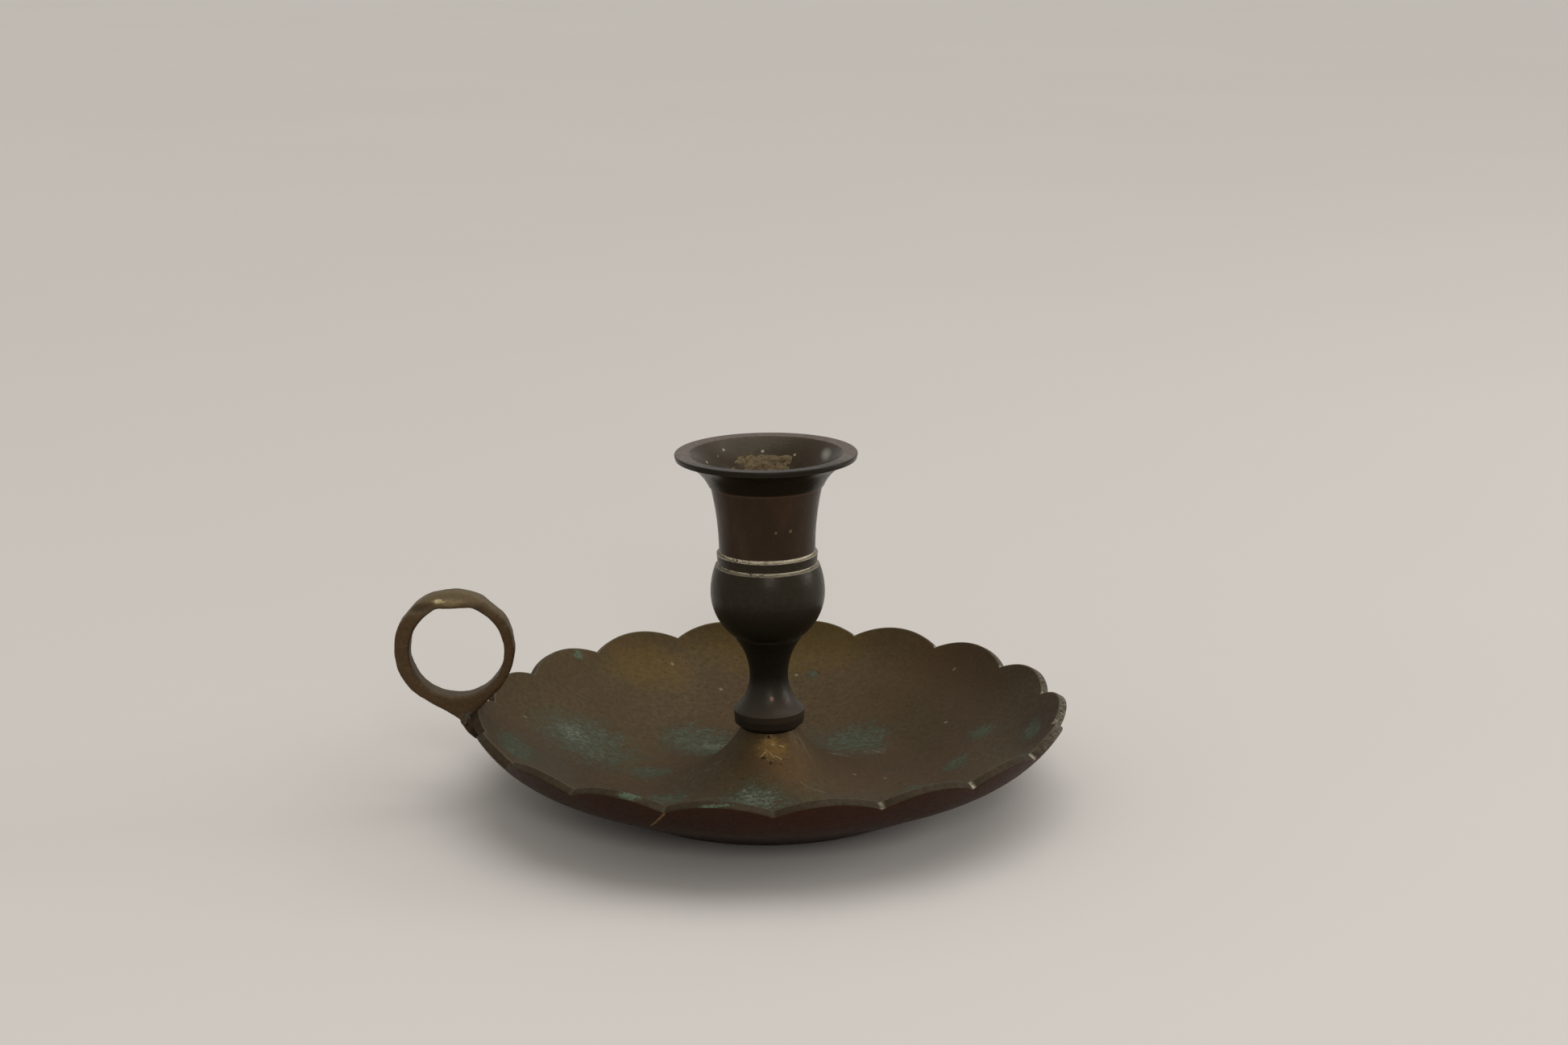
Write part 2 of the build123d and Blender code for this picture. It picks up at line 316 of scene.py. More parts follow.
def make_scallop_edge():
    """Distance of a point from the end face of its own lobe, and how far round the lobe it lies."""
    tree, given, end = new_effect("Scallop edge", [("Point", "Vector", None)],
                                  [("Off edge", "Float"), ("To notch", "Float")])
    x, y, z = split(tree, given["Point"])
    angle = calc(tree, "ARCTAN2", y, x)
    lobe = 2 * pi / scallops
    nearest = times(tree, calc(tree, "ROUND", calc(tree, "DIVIDE", angle, lobe)), lobe)
    folded = calc(tree, "SUBTRACT", angle, nearest)
    out = calc(tree, "SQRT", total(tree, times(tree, x, x), times(tree, y, y)))
    laid = add(tree, "ShaderNodeCombineXYZ", {0: times(tree, out, calc(tree, "COSINE", folded)),
                                              1: times(tree, out, calc(tree, "SINE", folded)), 2: z})
    away = vector(tree, "SUBTRACT", laid.outputs[0], tuple(lobe_centre))
    along = dot(tree, away, tuple(lobe_axis))
    reach = calc(tree, "SQRT", calc(tree, "SUBTRACT", dot(tree, away, away), times(tree, along, along)))
    feed(tree, end["Off edge"], calc(tree, "SUBTRACT", lobe_radius, reach))
    feed(tree, end["To notch"], calc(tree, "DIVIDE", calc(tree, "ABSOLUTE", folded), lobe / 2))
    return tree


mottle = make_mottle()
soft_spot = make_soft_spot()
ragged_crust = make_ragged_crust()
scratch = make_scratch()
hair_scratches = make_hair_scratches()
worn_edge = make_worn_edge()
scallop_edge = make_scallop_edge()


# Finishes

def new_finish(name):
    """An empty material: its tree and the point on the piece."""
    material = bpy.data.materials.new(name)
    material.use_nodes = True
    tree = material.node_tree
    tree.nodes.clear()
    return material, tree, add(tree, "ShaderNodeTexCoord").outputs["Object"]


def facing_of(tree):
    """The way in which the surface faces."""
    return add(tree, "ShaderNodeTexCoord").outputs["Normal"]


def finish_with(tree, colour, rough, metal, height, depth, **plain):
    """Give the finish its surface shader, with a bump of the given height."""
    bump = add(tree, "ShaderNodeBump", {"Height": height, "Distance": depth, "Strength": 1.0}).outputs[0]
    inputs = {"Base Color": colour, "Roughness": rough, "Metallic": metal, "Normal": bump}
    inputs.update({name.replace("_", " "): value for name, value in plain.items()})
    surface = add(tree, "ShaderNodeBsdfPrincipled", inputs)
    end = add(tree, "ShaderNodeOutputMaterial")
    tree.links.new(surface.outputs[0], end.inputs["Surface"])


def layer(tree, colour, *coats):
    """Lay coats of colour over each other, each given as its mask, its strength and its colour."""
    for mask, strength, coat in coats:
        colour = mix(tree, times(tree, mask, strength), colour, coat)
    return colour


def spot(tree, point, centre, reach):
    """A soft spot at a place in millimetres."""
    return use(tree, soft_spot, Point=point, Centre=Vector(centre) * mm, Reach=Vector(reach) * mm)["Mask"]


def spots(tree, point, places):
    """The strongest of several soft spots."""
    return strongest(tree, *[spot(tree, point, centre, reach) for centre, reach in places])


def specks(tree, point, places):
    """Round specks, each given as its place and its size in millimetres."""
    return spots(tree, point, [(place, (size, size, size)) for place, size in places])


def ragged(tree, point, soft, grain, broken):
    """A soft mask broken up, with a grain in millimetres."""
    return use(tree, ragged_crust, Point=point, Soft=soft, Grain=grain * mm, Broken=broken)["Mask"]


def hairs(tree, point, turn, share):
    """Hair scratches with a turn, over a share of the surface."""
    return use(tree, hair_scratches, Point=point, Turn=turn, Share=share)["Mask"]


def edge_wear(tree, width):
    """Worn edges of a width in millimetres."""
    return use(tree, worn_edge, Width=width * mm)["Mask"]


def lines(tree, point, places, width, flat=(1, 1, 0)):
    """Single scratches, each from one place to another in millimetres."""
    return strongest(tree, *[
        use(tree, scratch, Point=point, From=Vector(start) * mm, To=Vector(stop) * mm, Flat=flat,
            Width=width * mm)["Mask"] for start, stop in places])


# The pan's marks, its painted light and its painted shade: spots as centre and reach, scratches as start and
# end, all in millimetres
verdigris_places = [
    ((-47, 17, 6), (19, 17, 20)), ((-18, 30, 4), (14, 12, 20)), ((-14, 22, 4), (7, 8, 20)),
    ((22, 28, 3), (12, 11, 20)), ((46, 0, 8), (5, 6, 20)), ((53, 12, 10), (5, 5, 20)),
    ((60, -22, 13), (6, 9, 12)), ((-4, -20, 6), (14, 9, 20)), ((36, -9, 5), (6, 5, 20)),
    ((-62, -6, 14), (7, 12, 12)), ((-26, -12, 4), (8, 5, 20)), ((12, 57, 10), (2.5, 2, 20)),
    ((-38, -52, 18), (7, 4, 8)), ((-30, 8, 4), (8, 6, 20)), ((64.5, -3, 15), (4, 8, 8)),
]
pale_places = [
    ((-49.5, 18.5, 7), (5.5, 5.5, 20)), ((-14, 27, 4), (8, 4, 20)), ((17, 17, 3), (5, 2.5, 20)),
    ((27, 21, 3), (4, 2.5, 20)), ((-4, -20, 5), (9, 5, 20)), ((-36, -54, 18), (5, 3, 8)),
]
rim_green_places = [
    ((-31.6, -63.9, 22.5), (4.5, 2.0, 2.4)), ((-12.5, -71.2, 22), (6.5, 1.0, 1.2)),
    ((-49.5, 49.1, 21), (2.2, 2.2, 2.4)), ((-60, -30, 19), (4, 3, 4)),
]
haze_places = [
    ((-24, -26, 5), (44, 26, 20)), ((20, -20, 4), (34, 18, 20)), ((-54, -8, 9), (18, 30, 20)),
    ((10, 30, 3), (34, 16, 20)),
]
# a warmer, lighter tone on the dish's back wall: partly the patina's own colour, partly painted light where
# that wall faces the lamps
golden_places = [((4, 66, 18), (42, 17, 18)), ((-32, 55, 16), (20, 14, 16))]
# painted shade on the dish's inner walls at the back right and the right, which face away from the light
dusky_place = ((56, 32, 16), (30, 34, 20))
dark_wall_place = ((66, -2, 16), (12, 22, 12))
warm_boss_place = ((3, -11, 11), (10, 9, 9))
worn_boss_place = ((0.4, -8.6, 14), (6.5, 4.5, 5))
boss_pits = [((-0.3, -7.2, 16.6), (0.5, 0.4, 0.7)), ((-1.7, -10.1, 12.1), (0.8, 0.4, 0.6)),
             ((0.1, -11.1, 11.1), (0.5, 0.4, 0.7))]
dish_speck_places = [(-25.2, 58.5), (7.8, 57.2), (-12.3, 52), (-61.2, 16.4), (45.2, 24.4), (48.9, 44.3),
                     (-6.4, -16.3), (-4.9, -18.2), (28.4, 0.8), (20.8, -1.4)]
dish_specks = [((x, y, 8), (0.6, 0.5, 20)) for x, y in dish_speck_places]
dish_scratches = [
    ((-16.1, -3.3, 0), (-13.3, -5.6, 0)), ((-13.7, -3.4, 0), (-11.9, -4.4, 0)),
    ((-17.9, -15.2, 0), (-12.4, -16.7, 0)), ((-12.4, -16.7, 0), (-9, -17.8, 0)),
    ((6.9, -3.4, 0), (9.9, -6.1, 0)), ((7, -13.8, 0), (9.2, -15, 0)), ((9.2, -15, 0), (13.4, -15.2, 0)),
    ((-34, -31, 0), (-29, -35, 0)), ((33, -20, 0), (41, -24, 0)),
]
boss_scratches = [
    ((-2.7, -8.4, 0), (3.4, -8.0, 0)), ((-1.1, -7.5, 0), (-0.5, -10.6, 0)),
    ((-2.4, -9.9, 0), (1.5, -7.9, 0)), ((-1.9, -8.0, 0), (0.9, -10.1, 0)),
    ((1.3, -9.8, 0), (2.8, -10.2, 0)),
]
below_scratches = [((-23.9, -66.8, 19.5), (-27.5, -60.5, 13.5))]


def pan_rim(tree, point, seen):
    """Add the rim's masks to what is seen: end faces, with painted light on the right side, the painted
    highlight along their inner edge, notches, nicks and green.
    """
    edge = use(tree, scallop_edge, Point=point)
    facing = facing_of(tree)
    up = split(tree, facing)[2]
    flat = stretch(tree, point, (1, 1, 0))
    out = length_of(tree, flat)
    off = calc(tree, "ABSOLUTE", edge["Off edge"])
    outer = step(tree, calc(tree, "DIVIDE", dot(tree, facing, flat), out), -0.1, 0.25)
    at_rim = step(tree, out, 60 * mm, 62 * mm)
    near = without(tree, step(tree, off, 0.2 * mm, 0.5 * mm))
    seen.end_face = times(tree, near, outer, step(tree, up, -0.1, 0.2), at_rim)
    # a thin painted highlight along the inner edge of the rim's end faces
    nearer = without(tree, step(tree, off, 0.1 * mm, 0.6 * mm))
    seen.line = times(tree, nearer, without(tree, outer), step(tree, up, 0.0, 0.2), at_rim)
    x, y, _ = split(tree, point)
    # painted light: the rim's end faces turn from dark at the front to light at the right, where the light
    # comes from
    seen.side = step(tree, total(tree, x, times(tree, y, 0.35)), 45 * mm, 64 * mm)
    # painted light: worn rim edges and notches grow brighter towards the right, where the light comes from
    seen.right = spread(tree, step(tree, x, 0.0, 30 * mm), 0.08, 1.0)
    seen.rim = strongest(tree, seen.end_face, seen.line)
    seen.notch = times(tree, seen.rim, step(tree, edge["To notch"], 0.92, 1.0), seen.right)
    # All that faces up is inside; the dish is the same without the rim's end faces
    seen.inside = step(tree, up, 0.05, 0.3)
    seen.dish = times(tree, seen.inside, without(tree, seen.end_face))
    rim_green = ragged(tree, point, spots(tree, point, rim_green_places), 0.9, 0.9)
    seen.rim_green = times(tree, rim_green, step(tree, up, -0.1, 0.1))
    seen.nicks = times(tree, seen.end_face, ragged(tree, point, times(tree, seen.side, 0.45), 0.8, 1.1))


def pan_corrosion(tree, point, seen):
    """Add the masks of corrosion: green patches in the dish, their bloom and flecks, and whitish crust."""
    green = ragged(tree, point, times(tree, spots(tree, point, verdigris_places), 1.1), 2.0, 1.1)
    seen.green = times(tree, green, seen.dish)
    bloom = noise(tree, stretch(tree, point, (0.35, 1, 1)), 0.9 * mm, 3, 0.65)
    seen.bloom = times(tree, step(tree, bloom, 0.46, 0.64), seen.green)
    flecks = noise(tree, stretch(tree, point, (0.4, 1, 1)), 0.5 * mm, 3, 0.7)
    seen.flecks = times(tree, step(tree, flecks, 0.58, 0.7), seen.green)
    pale = ragged(tree, point, times(tree, spots(tree, point, pale_places), 0.62), 0.8, 1.1)
    seen.pale = times(tree, pale, seen.dish)
    seen.crust = strongest(tree, times(tree, seen.green, 0.8), seen.pale, seen.rim_green)


def pan_wear(tree, point, seen):
    """Add the masks of the pan's tones, scratches and specks."""
    # golden back wall: partly its own tone, partly painted light
    seen.golden = ragged(tree, point, spots(tree, point, golden_places), 7, 0.4)
    seen.haze = ragged(tree, point, times(tree, spots(tree, point, haze_places), 0.7), 5, 0.5)
    # painted shade on the dish's inner walls at the back right and the right
    seen.dusky = spot(tree, point, *dusky_place)
    seen.dark_wall = spot(tree, point, *dark_wall_place)
    seen.warm_boss = times(tree, spot(tree, point, *warm_boss_place), seen.inside)
    worn = ragged(tree, point, spot(tree, point, *worn_boss_place), 1.0, 0.6)
    seen.worn_boss = times(tree, worn, seen.inside)
    seen.pits = spots(tree, point, boss_pits)
    seen.specks = spots(tree, point, dish_specks)
    dots = step(tree, noise(tree, point, 0.7 * mm, 2, 0.6), 0.66, 0.74)
    seen.dots = times(tree, dots, step(tree, noise(tree, point, 8 * mm, 3), 0.42, 0.6))
    seen.streaks = hairs(tree, point, (0, 0, 0.35), 0.3)
    seen.crossing = hairs(tree, point, (0, 0, -1.0), 0.16)
    uneven = spread(tree, seen.grain["Fine"], 0.3, 1.0)
    seen.marks = times(tree, lines(tree, point, dish_scratches, 0.22), seen.dish, uneven)
    seen.boss_marks = times(tree, lines(tree, point, boss_scratches, 0.15), seen.dish)
    seen.below_mark = lines(tree, point, below_scratches, 0.4, (1, 0, 1))
    seen.bare = strongest(tree, seen.notch, times(tree, seen.worn_boss, 0.7), seen.boss_marks, seen.nicks)


def dish_colour(tree, seen):
    """Olive brown, golden at the back partly as painted light, darker on the inner walls at the back right
    and the right as painted shade, worn on the boss, with green and whitish patches.
    """
    fine, broad = seen.grain["Fine"], seen.grain["Broad"]
    olive = mix(tree, seen.cloud["Broad"], paint(72, 56, 36), paint(83, 72, 48))
    return layer(
        tree, mix(tree, fine, olive, paint(66, 55, 37)),
        (broad, 0.4, paint(84, 62, 42)),
        (seen.haze, 0.6, paint(70, 68, 54)),
        # golden back wall, partly its own tone and partly painted light
        (seen.golden, 0.85, mix(tree, fine, paint(88, 71, 38), paint(80, 64, 34))),
        # painted shade on the inner walls at the back right and the right
        (seen.dusky, 0.6, paint(62, 49, 32)),
        (seen.dark_wall, 0.7, paint(54, 43, 29)),
        (seen.green, 0.8, mix(tree, fine, paint(56, 64, 50), paint(72, 78, 63))),
        (seen.bloom, 0.4, paint(94, 100, 88)),
        (seen.flecks, 0.55, paint(110, 116, 104)),
        (seen.pale, 0.5, paint(126, 132, 120)),
        (seen.streaks, 0.38, paint(102, 92, 70)),
        (seen.crossing, 0.2, paint(96, 84, 62)),
        (seen.warm_boss, 0.75, paint(92, 70, 44)),
        (seen.worn_boss, 0.7, mix(tree, fine, paint(124, 97, 54), paint(104, 80, 44))),
        (seen.grain["Pits"], spread(tree, broad, 0.1, 0.7), paint(46, 36, 26)),
        (seen.dots, 0.4, paint(116, 110, 90)),
        (seen.marks, 0.6, paint(122, 112, 88)),
        (seen.boss_marks, 0.8, paint(150, 130, 88)),
        (seen.pits, 1.0, paint(40, 30, 18)),
        (seen.specks, 0.7, paint(136, 130, 108)))


def below_colour(tree, seen):
    """Coppery brown of the underside, its patina made darker as painted shade under the pan, with one bright
    scratch at the front.
    """
    return layer(
        tree, mix(tree, seen.grain["Fine"], paint(48, 25, 14), paint(38, 20, 11)),
        (seen.cloud["Broad"], 0.6, paint(55, 25, 14)),
        (seen.grain["Broad"], 0.35, paint(44, 34, 15)),
        (seen.crossing, 0.3, paint(78, 56, 34)),
        (seen.below_mark, 1.0, paint(112, 84, 54)))


def rim_over(tree, colour, seen):
    """Lay the worn rim over the pan's colour, with painted light: end faces dark at the front and light at
    the right, a painted highlight along their inner edge, and worn edges and notches brighter towards the
    right.
    """
    fine = seen.grain["Fine"]
    cloudy = seen.cloud["Broad"]
    # painted light and shade on the end faces: dark at the front, light at the right
    face_colour = mix(tree, seen.side, paint(58, 49, 35), paint(84, 79, 67))
    worn = times(tree, edge_wear(tree, 0.5), seen.rim, spread(tree, cloudy, 0.0, 0.4))
    return layer(
        tree, colour,
        (seen.end_face, 0.9, mix(tree, fine, face_colour, paint(48, 39, 28))),
        # the painted highlight along the inner edge of the rim
        (seen.line, spread(tree, cloudy, 0.0, 0.7), paint(100, 92, 70)),
        # worn rim edges, made brighter towards the right as painted light
        (worn, spread(tree, seen.right, 0.4, 1.0), paint(108, 98, 74)),
        (seen.nicks, 0.7, paint(146, 140, 122)),
        # bare worn notches, brighter towards the right as a painted highlight
        (seen.notch, spread(tree, fine, 0.15, 1.0), paint(172, 164, 144)),
        (seen.rim_green, 0.7, mix(tree, fine, paint(78, 100, 76), paint(98, 112, 90))))


def pan_finish():
    """Cast brass gone olive brown in the dish and coppery brown below, darkened below and on the inner right
    walls as painted shade, with a worn rim that carries painted light at the right.
    """
    material, tree, point = new_finish("pan_patina")
    seen = SimpleNamespace(grain=use(tree, mottle, Point=point, Size=1.0),
                           cloud=use(tree, mottle, Point=point, Size=2.6))
    pan_rim(tree, point, seen)
    pan_corrosion(tree, point, seen)
    pan_wear(tree, point, seen)
    fine = seen.grain["Fine"]
    colour = mix(tree, seen.inside, below_colour(tree, seen), dish_colour(tree, seen))
    colour = rim_over(tree, colour, seen)
    rough = spread(tree, total(tree, times(tree, fine, 0.5), times(tree, seen.crust, 0.5)), 0.44, 0.7)
    rough = calc(tree, "SUBTRACT", rough, times(tree, seen.bare, 0.14))
    metal = total(tree, spread(tree, seen.inside, 0.04, 0.32), times(tree, seen.bare, 0.55))
    metal = calc(tree, "SUBTRACT", metal, times(tree, seen.crust, 0.3), clamp=True)
    cut = strongest(tree, seen.marks, seen.boss_marks, seen.streaks, seen.pits)
    skin = total(tree, times(tree, fine, 0.25), seen.cloud["Broad"])
    skin = calc(tree, "SUBTRACT", skin, times(tree, cut, 0.5))
    skin = calc(tree, "SUBTRACT", skin, times(tree, seen.grain["Pits"], 0.4))
    skin = total(tree, skin, times(tree, seen.crust, 0.4))
    finish_with(tree, colour, rough, metal, skin, 0.16 * mm, Specular_IOR_Level=0.08)
    return material


def patina_rough(tree, grain, low, high):
    """Roughness of a smooth patina, from its grain."""
    uneven = total(tree, times(tree, grain["Fine"], 0.6), times(tree, grain["Broad"], 0.4))
    return spread(tree, uneven, low, high)


def turned_skin(tree, point, grain):
    """Fine lines left round a turned piece, with a little grain."""
    rings = noise(tree, stretch(tree, point, (0.02, 0.02, 1)), 0.25 * mm, 2)
    return total(tree, times(tree, rings, 0.3), times(tree, grain["Fine"], 0.2))


# The stem's marks: heights over which the tones of its flange and foot fade, and a reddish worn spot
flange_heights = (19.6 * mm, 20.4 * mm)
foot_heights = (22 * mm, 31 * mm)
stem_spot_place = ((0.6, -5.9, 25.6), (0.8, 3, 1.0))


def stem_finish():
    """Turned brass, smooth and brown black, greyer where the foot spreads."""
    material, tree, point = new_finish("stem_patina")
    height = split(tree, point)[2]
    grain = use(tree, mottle, Point=point, Size=0.8)
    fine = grain["Fine"]
    foot = without(tree, step(tree, height, *foot_heights))
    flange = without(tree, step(tree, height, *flange_heights))
    bare = ragged(tree, point, spot(tree, point, *stem_spot_place), 0.6, 0.3)
    colour = layer(
        tree, mix(tree, fine, paint(34, 28, 20), paint(27, 22, 15)),
        (foot, 0.9, mix(tree, grain["Broad"], paint(66, 56, 44), paint(54, 48, 38))),
        (flange, 0.7, paint(38, 32, 24)),
        (grain["Pits"], 0.3, paint(74, 66, 52)),
        (hairs(tree, point, (0.3, 1.3, 0.2), 0.2), 0.3, paint(84, 76, 62)),
        (edge_wear(tree, 0.45), spread(tree, fine, 0.05, 0.3), paint(84, 74, 58)),
        (bare, 0.7, paint(128, 94, 76)))
    rough = patina_rough(tree, grain, 0.3, 0.5)
    skin = turned_skin(tree, point, grain)
    finish_with(tree, colour, rough, 0.3, skin, 0.06 * mm, Specular_IOR_Level=0.2)
    return material


# The cup's marks, its painted sheen and its painted shade: specks as place and size, spots as centre and
# reach, in millimetres
mouth_specks = [((-10.2, 12.2, 83.8), 0.45), ((-0.7, 14.8, 82.7), 0.45), ((7.1, 12.5, 82.2), 0.4),
                ((-14.2, 4, 82.7), 0.5), ((-3.4, 12.2, 79.6), 0.3), ((-11.5, 9.4, 83.0), 0.3)]
body_specks = [((2, -11.8, 68.8), 0.42), ((5.5, -10.7, 68.9), 0.5), ((-4.2, -11.2, 74.6), 0.25),
               ((3.4, -11.6, 64.4), 0.25)]
wax_stain_place = ((-1, 13, 80), (10, 5, 3.4))
sheen_place = ((14.8, 6.4, 83.4), (1.6, 3.6, 1.8))
dirt_reach = (12.35 * mm, 12.75 * mm)  # out from the axis, just past the collar
# the lip carries a painted reflection of the room, light at the back and dark at the front; the next two
# reaches bound it
lip_reach = (18.2 * mm, 18.8 * mm)  # out from the axis, where the lip's tone starts
front_reach = (-17 * mm, -5 * mm)  # from the lip's darker front to its back
# painted shade on the lower belly, which fades out over these heights
low_belly_heights = (41 * mm, 51 * mm)


def groove_dirt(tree, point, facing, out, height):
    """Mask of the pale dirt in the two grooves: whole at the right, broken at the left."""
    grooves = [band(tree, height, low - 0.1 * mm, high + 0.1 * mm, 0.12 * mm)
               for low, high in (lower_groove, upper_groove)]
    deep = without(tree, step(tree, out, *dirt_reach))
    broken = step(tree, noise(tree, point, 1.1 * mm, 3, 0.7), 0.36, 0.5)
    whole = strongest(tree, broken, step(tree, split(tree, facing)[0], -0.5, 0.3))
    return times(tree, strongest(tree, *grooves), deep, whole)


def cup_masks(tree, point):
    """Masks of all that shows on the cup."""
    facing = facing_of(tree)
    _, y, height = split(tree, point)
    to_right, _, up = split(tree, facing)
    flat = stretch(tree, point, (1, 1, 0))
    out = length_of(tree, flat)
    outer = step(tree, dot(tree, facing, flat), -0.002 * mm, 0.002 * mm)
    seen = SimpleNamespace(grain=use(tree, mottle, Point=point, Size=0.8),
                           cloud=use(tree, mottle, Point=point, Size=1.8))
    seen.mouth = without(tree, outer)
    seen.front = without(tree, step(tree, y, *front_reach))
    seen.body = times(tree, band(tree, height, upper_groove[1], flare_foot, 0.3 * mm), outer)
    seen.hanging = noise(tree, stretch(tree, point, (1, 1, 0.35)), 4.5 * mm, 3, 0.6)
    seen.olive_body = times(tree, seen.body, step(tree, seen.hanging, 0.56, 0.68))
    # painted light: the body is lighter where it faces right
    seen.right_body = times(tree, seen.body, step(tree, to_right, 0.3, 0.95))
    # painted shade on the flare, which faces down under the lip
    seen.flare = times(tree, step(tree, height, flare_foot, flare_foot + 0.6 * mm), outer)
    # painted shade: darker towards the bottom of the belly
    seen.low_belly = without(tree, step(tree, height, *low_belly_heights))
    seen.lip = times(tree, step(tree, up, 0.6, 0.9), step(tree, out, *lip_reach))
    stain = ragged(tree, point, spot(tree, point, *wax_stain_place), 1.6, 0.9)
    seen.wax_stain = times(tree, stain, seen.mouth)
    seen.dust = times(tree, specks(tree, point, mouth_specks), seen.mouth)
    seen.chips = times(tree, specks(tree, point, body_specks), seen.body)
    seen.sheen = times(tree, spot(tree, point, *sheen_place), seen.mouth)
    seen.dirt = times(tree, groove_dirt(tree, point, facing, out, height), outer)
    joint = band(tree, height, joint_height - 0.2 * mm, joint_height + 0.35 * mm, 0.15 * mm)
    seen.joint = times(tree, joint, outer)
    step_line = band(tree, height, flare_foot - 0.35 * mm, flare_foot + 0.15 * mm, 0.15 * mm)
    seen.step_line = times(tree, step_line, outer)
    seen.dull = strongest(tree, seen.dirt, seen.wax_stain, seen.dust)
    return seen


def cup_colour(tree, seen):
    """Brown black, redder on the body, with pale dirt in the grooves and a dusty mouth; painted light makes
    the body lighter where it faces right, painted shade darkens the low belly and the flare, and the greyer
    lip is a painted reflection, dark at the front.
    """
    fine, cloudy = seen.grain["Fine"], seen.cloud["Broad"]
    worn = times(tree, edge_wear(tree, 0.4), spread(tree, fine, 0.1, 0.6))
    # painted reflection on the lip's back and sides
    lip_back = mix(tree, fine, paint(94, 82, 70), paint(78, 66, 54))
    return layer(
        tree, mix(tree, fine, paint(46, 40, 30), paint(36, 31, 22)),
        (cloudy, 0.4, paint(54, 48, 36)),
        # painted shade low on the belly
        (seen.low_belly, 0.7, paint(26, 22, 16)),
        (seen.body, 1.0, mix(tree, step(tree, seen.hanging, 0.3, 0.7), paint(48, 36, 25), paint(60, 43, 31))),
        (seen.olive_body, 0.5, paint(60, 54, 40)),
        # painted light where the body faces right
        (seen.right_body, 0.5, paint(50, 42, 32)),
        # painted shade on the flare under the lip
        (seen.flare, 0.9, mix(tree, fine, paint(34, 27, 19), paint(28, 23, 16))),
        (times(tree, seen.body, seen.grain["Pits"]), 0.45, paint(78, 62, 44)),
        (seen.mouth, 1.0, mix(tree, fine, paint(66, 55, 42), paint(56, 46, 35))),
        (times(tree, seen.mouth, cloudy), 0.45, paint(60, 57, 44)),
        # the lip: a painted reflection, light at the back and dark at the front
        (seen.lip, 1.0, mix(tree, seen.front, lip_back, paint(32, 25, 18))),
        (seen.wax_stain, 0.6, paint(100, 86, 58)),
        (seen.sheen, 0.75, paint(150, 148, 138)),
        (seen.dust, 0.85, paint(176, 170, 150)),
        (seen.chips, 0.7, paint(128, 108, 74)),
        (worn, spread(tree, seen.front, 1.0, 0.3), paint(92, 78, 62)),
        (seen.step_line, 0.7, paint(84, 60, 44)),
        (seen.joint, 0.5, paint(66, 62, 50)),
        (seen.dirt, 1.0, mix(tree, fine, paint(244, 234, 210), paint(196, 184, 156))))


def cup_finish():
    """Turned brass with a smooth patina, dull where dirt, wax and dust lie on it."""
    material, tree, point = new_finish("cup_patina")
    seen = cup_masks(tree, point)
    colour = cup_colour(tree, seen)
    rough = total(tree, patina_rough(tree, seen.grain, 0.22, 0.4), times(tree, seen.dull, 0.3))
    metal = calc(tree, "SUBTRACT", 0.22, times(tree, strongest(tree, seen.dull, seen.lip), 0.18))
    skin = total(tree, turned_skin(tree, point, seen.grain), times(tree, seen.dull, 0.8))
    finish_with(tree, colour, rough, metal, skin, 0.06 * mm, Specular_IOR_Level=0.12)
    return material


def wax_finish():
    """Old wax, yellowish brown with dust in it."""
    material, tree, point = new_finish("old_wax")
    grain = use(tree, mottle, Point=point, Size=0.35)
    fine = grain["Fine"]
    colour = layer(
        tree, mix(tree, fine, paint(124, 106, 72), paint(98, 80, 52)),
        (grain["Broad"], 0.5, paint(90, 72, 50)),
        (grain["Pits"], 0.6, paint(150, 138, 106)))
    finish_with(tree, colour, spread(tree, fine, 0.45, 0.7), 0.0, fine, 0.1 * mm, Specular_IOR_Level=0.3)
    return material


# The loop's marks, its painted light and its painted shade: spots as centre and reach in millimetres, and
# where its tones fade
shade_places = [((-84.2, -2.6, 48.8), (3.6, 1.6, 1.3)), ((-69.8, -2.6, 48.6), (2.0, 1.6, 1.4))]
# the filed facet at the top front: pale as worn metal with painted light on it, and a painted highlight at
# its brightest spot
pale_top_place = ((-76.8, -2.5, 50.2), (5.4, 2.4, 1.5))
bright_top_place = ((-79.4, -2.5, 50.6), (2.4, 2.0, 0.9))
filed_reach = (-72 * mm, -64 * mm)
# painted shade inside the finger hole fades out over this reach
inner_reach = (11.2 * mm, 12.4 * mm)  # out from the middle of the finger hole
# painted light on the loop's top rises over these heights
top_heights = (45 * mm, 51 * mm)
low_heights = (17 * mm, 27 * mm)
tab_heights = (18.5 * mm, 20.5 * mm)


